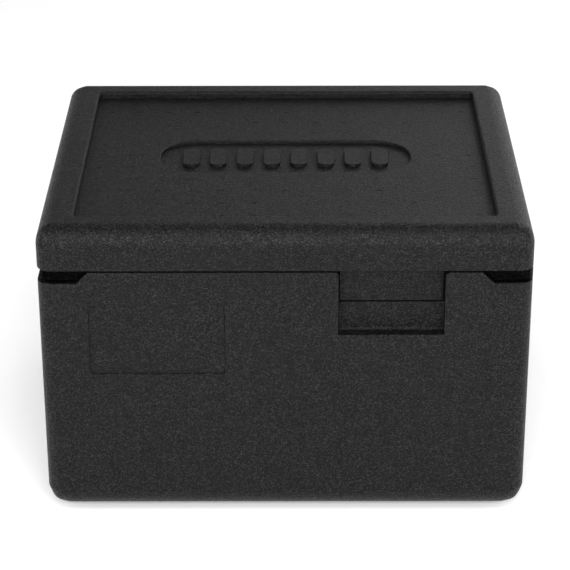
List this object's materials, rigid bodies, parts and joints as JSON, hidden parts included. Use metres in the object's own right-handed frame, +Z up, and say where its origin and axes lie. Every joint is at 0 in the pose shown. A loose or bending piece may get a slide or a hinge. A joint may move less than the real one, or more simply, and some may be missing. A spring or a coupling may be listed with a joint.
{
  "type": "insulated food carrier",
  "caption": "Insulated foam box for a half-size food pan: an open body and a lift-off lid seated on a raised rim, with tongues in pockets, corner finger slots, end grips and a stacking foot.",
  "frame": {"origin": "centre of the footprint, on the surface that the carrier stands on", "axes": "+X along the long side, -Y to the front face with the label panel on its left and the tongue on its right, +Z up, the way the lid lifts"},
  "size_m": [0.39, 0.33, 0.257],
  "materials": {
    "body_foam": "matt black bead foam with a fine moulded grain",
    "lid_foam": "matt black bead foam with a fine moulded grain"
  },
  "bodies": {
    "carrier_body": {"body": "body_foam"},
    "carrier_lid": {"lid": "lid_foam"}
  },
  "joints": [
    {"name": "lid_lift", "type": "slide", "parent": "carrier_body", "child": "carrier_lid", "axis": [0, 0, 1], "range_m": [0, 0.3]}
  ]
}
